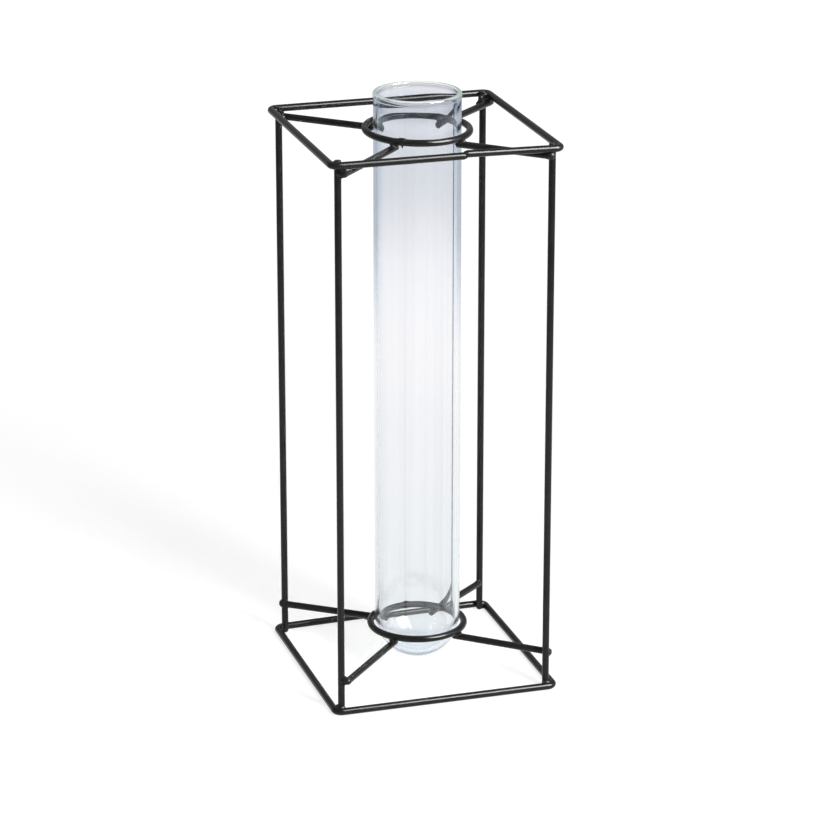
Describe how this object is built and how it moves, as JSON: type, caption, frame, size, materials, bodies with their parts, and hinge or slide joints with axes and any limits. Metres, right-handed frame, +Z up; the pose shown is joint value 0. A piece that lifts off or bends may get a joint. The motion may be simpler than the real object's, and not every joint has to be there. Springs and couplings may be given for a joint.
{
  "type": "bud vase",
  "caption": "Clear glass tube vase with a round bottom, held upright by wire rings and spokes in a square frame of welded black wire.",
  "frame": {"origin": "on the table, under the middle of the square frame", "axes": "+Z up along the glass tube, +Y to the back, +X to the right seen from the front"},
  "size_m": [0.1032, 0.1038, 0.2625],
  "materials": {
    "clear_glass": "smooth, polished",
    "black_paint": "satin"
  },
  "bodies": {
    "frame": {"top_hoop": "black_paint", "bottom_hoop": "black_paint", "post_front_left": "black_paint", "post_front_right": "black_paint", "post_back_right": "black_paint", "post_back_left": "black_paint", "top_ring": "black_paint", "bottom_ring": "black_paint", "top_spoke_front_left": "black_paint", "top_spoke_front_right": "black_paint", "top_spoke_back_right": "black_paint", "top_spoke_back_left": "black_paint", "bottom_spoke_front_left": "black_paint", "bottom_spoke_front_right": "black_paint", "bottom_spoke_back_right": "black_paint", "bottom_spoke_back_left": "black_paint", "top_corner_welds": "black_paint", "bottom_corner_welds": "black_paint", "top_post_welds": "black_paint", "bottom_post_welds": "black_paint", "top_ring_welds": "black_paint", "bottom_ring_welds": "black_paint", "hoop_seam_welds": "black_paint", "ring_seam_welds": "black_paint"},
    "tube": {"glass_tube": "clear_glass"}
  },
  "joints": [
    {"name": "tube_lift", "type": "slide", "parent": "frame", "child": "tube", "axis": [0, 0, 1], "range_m": [0, 0.25]}
  ]
}
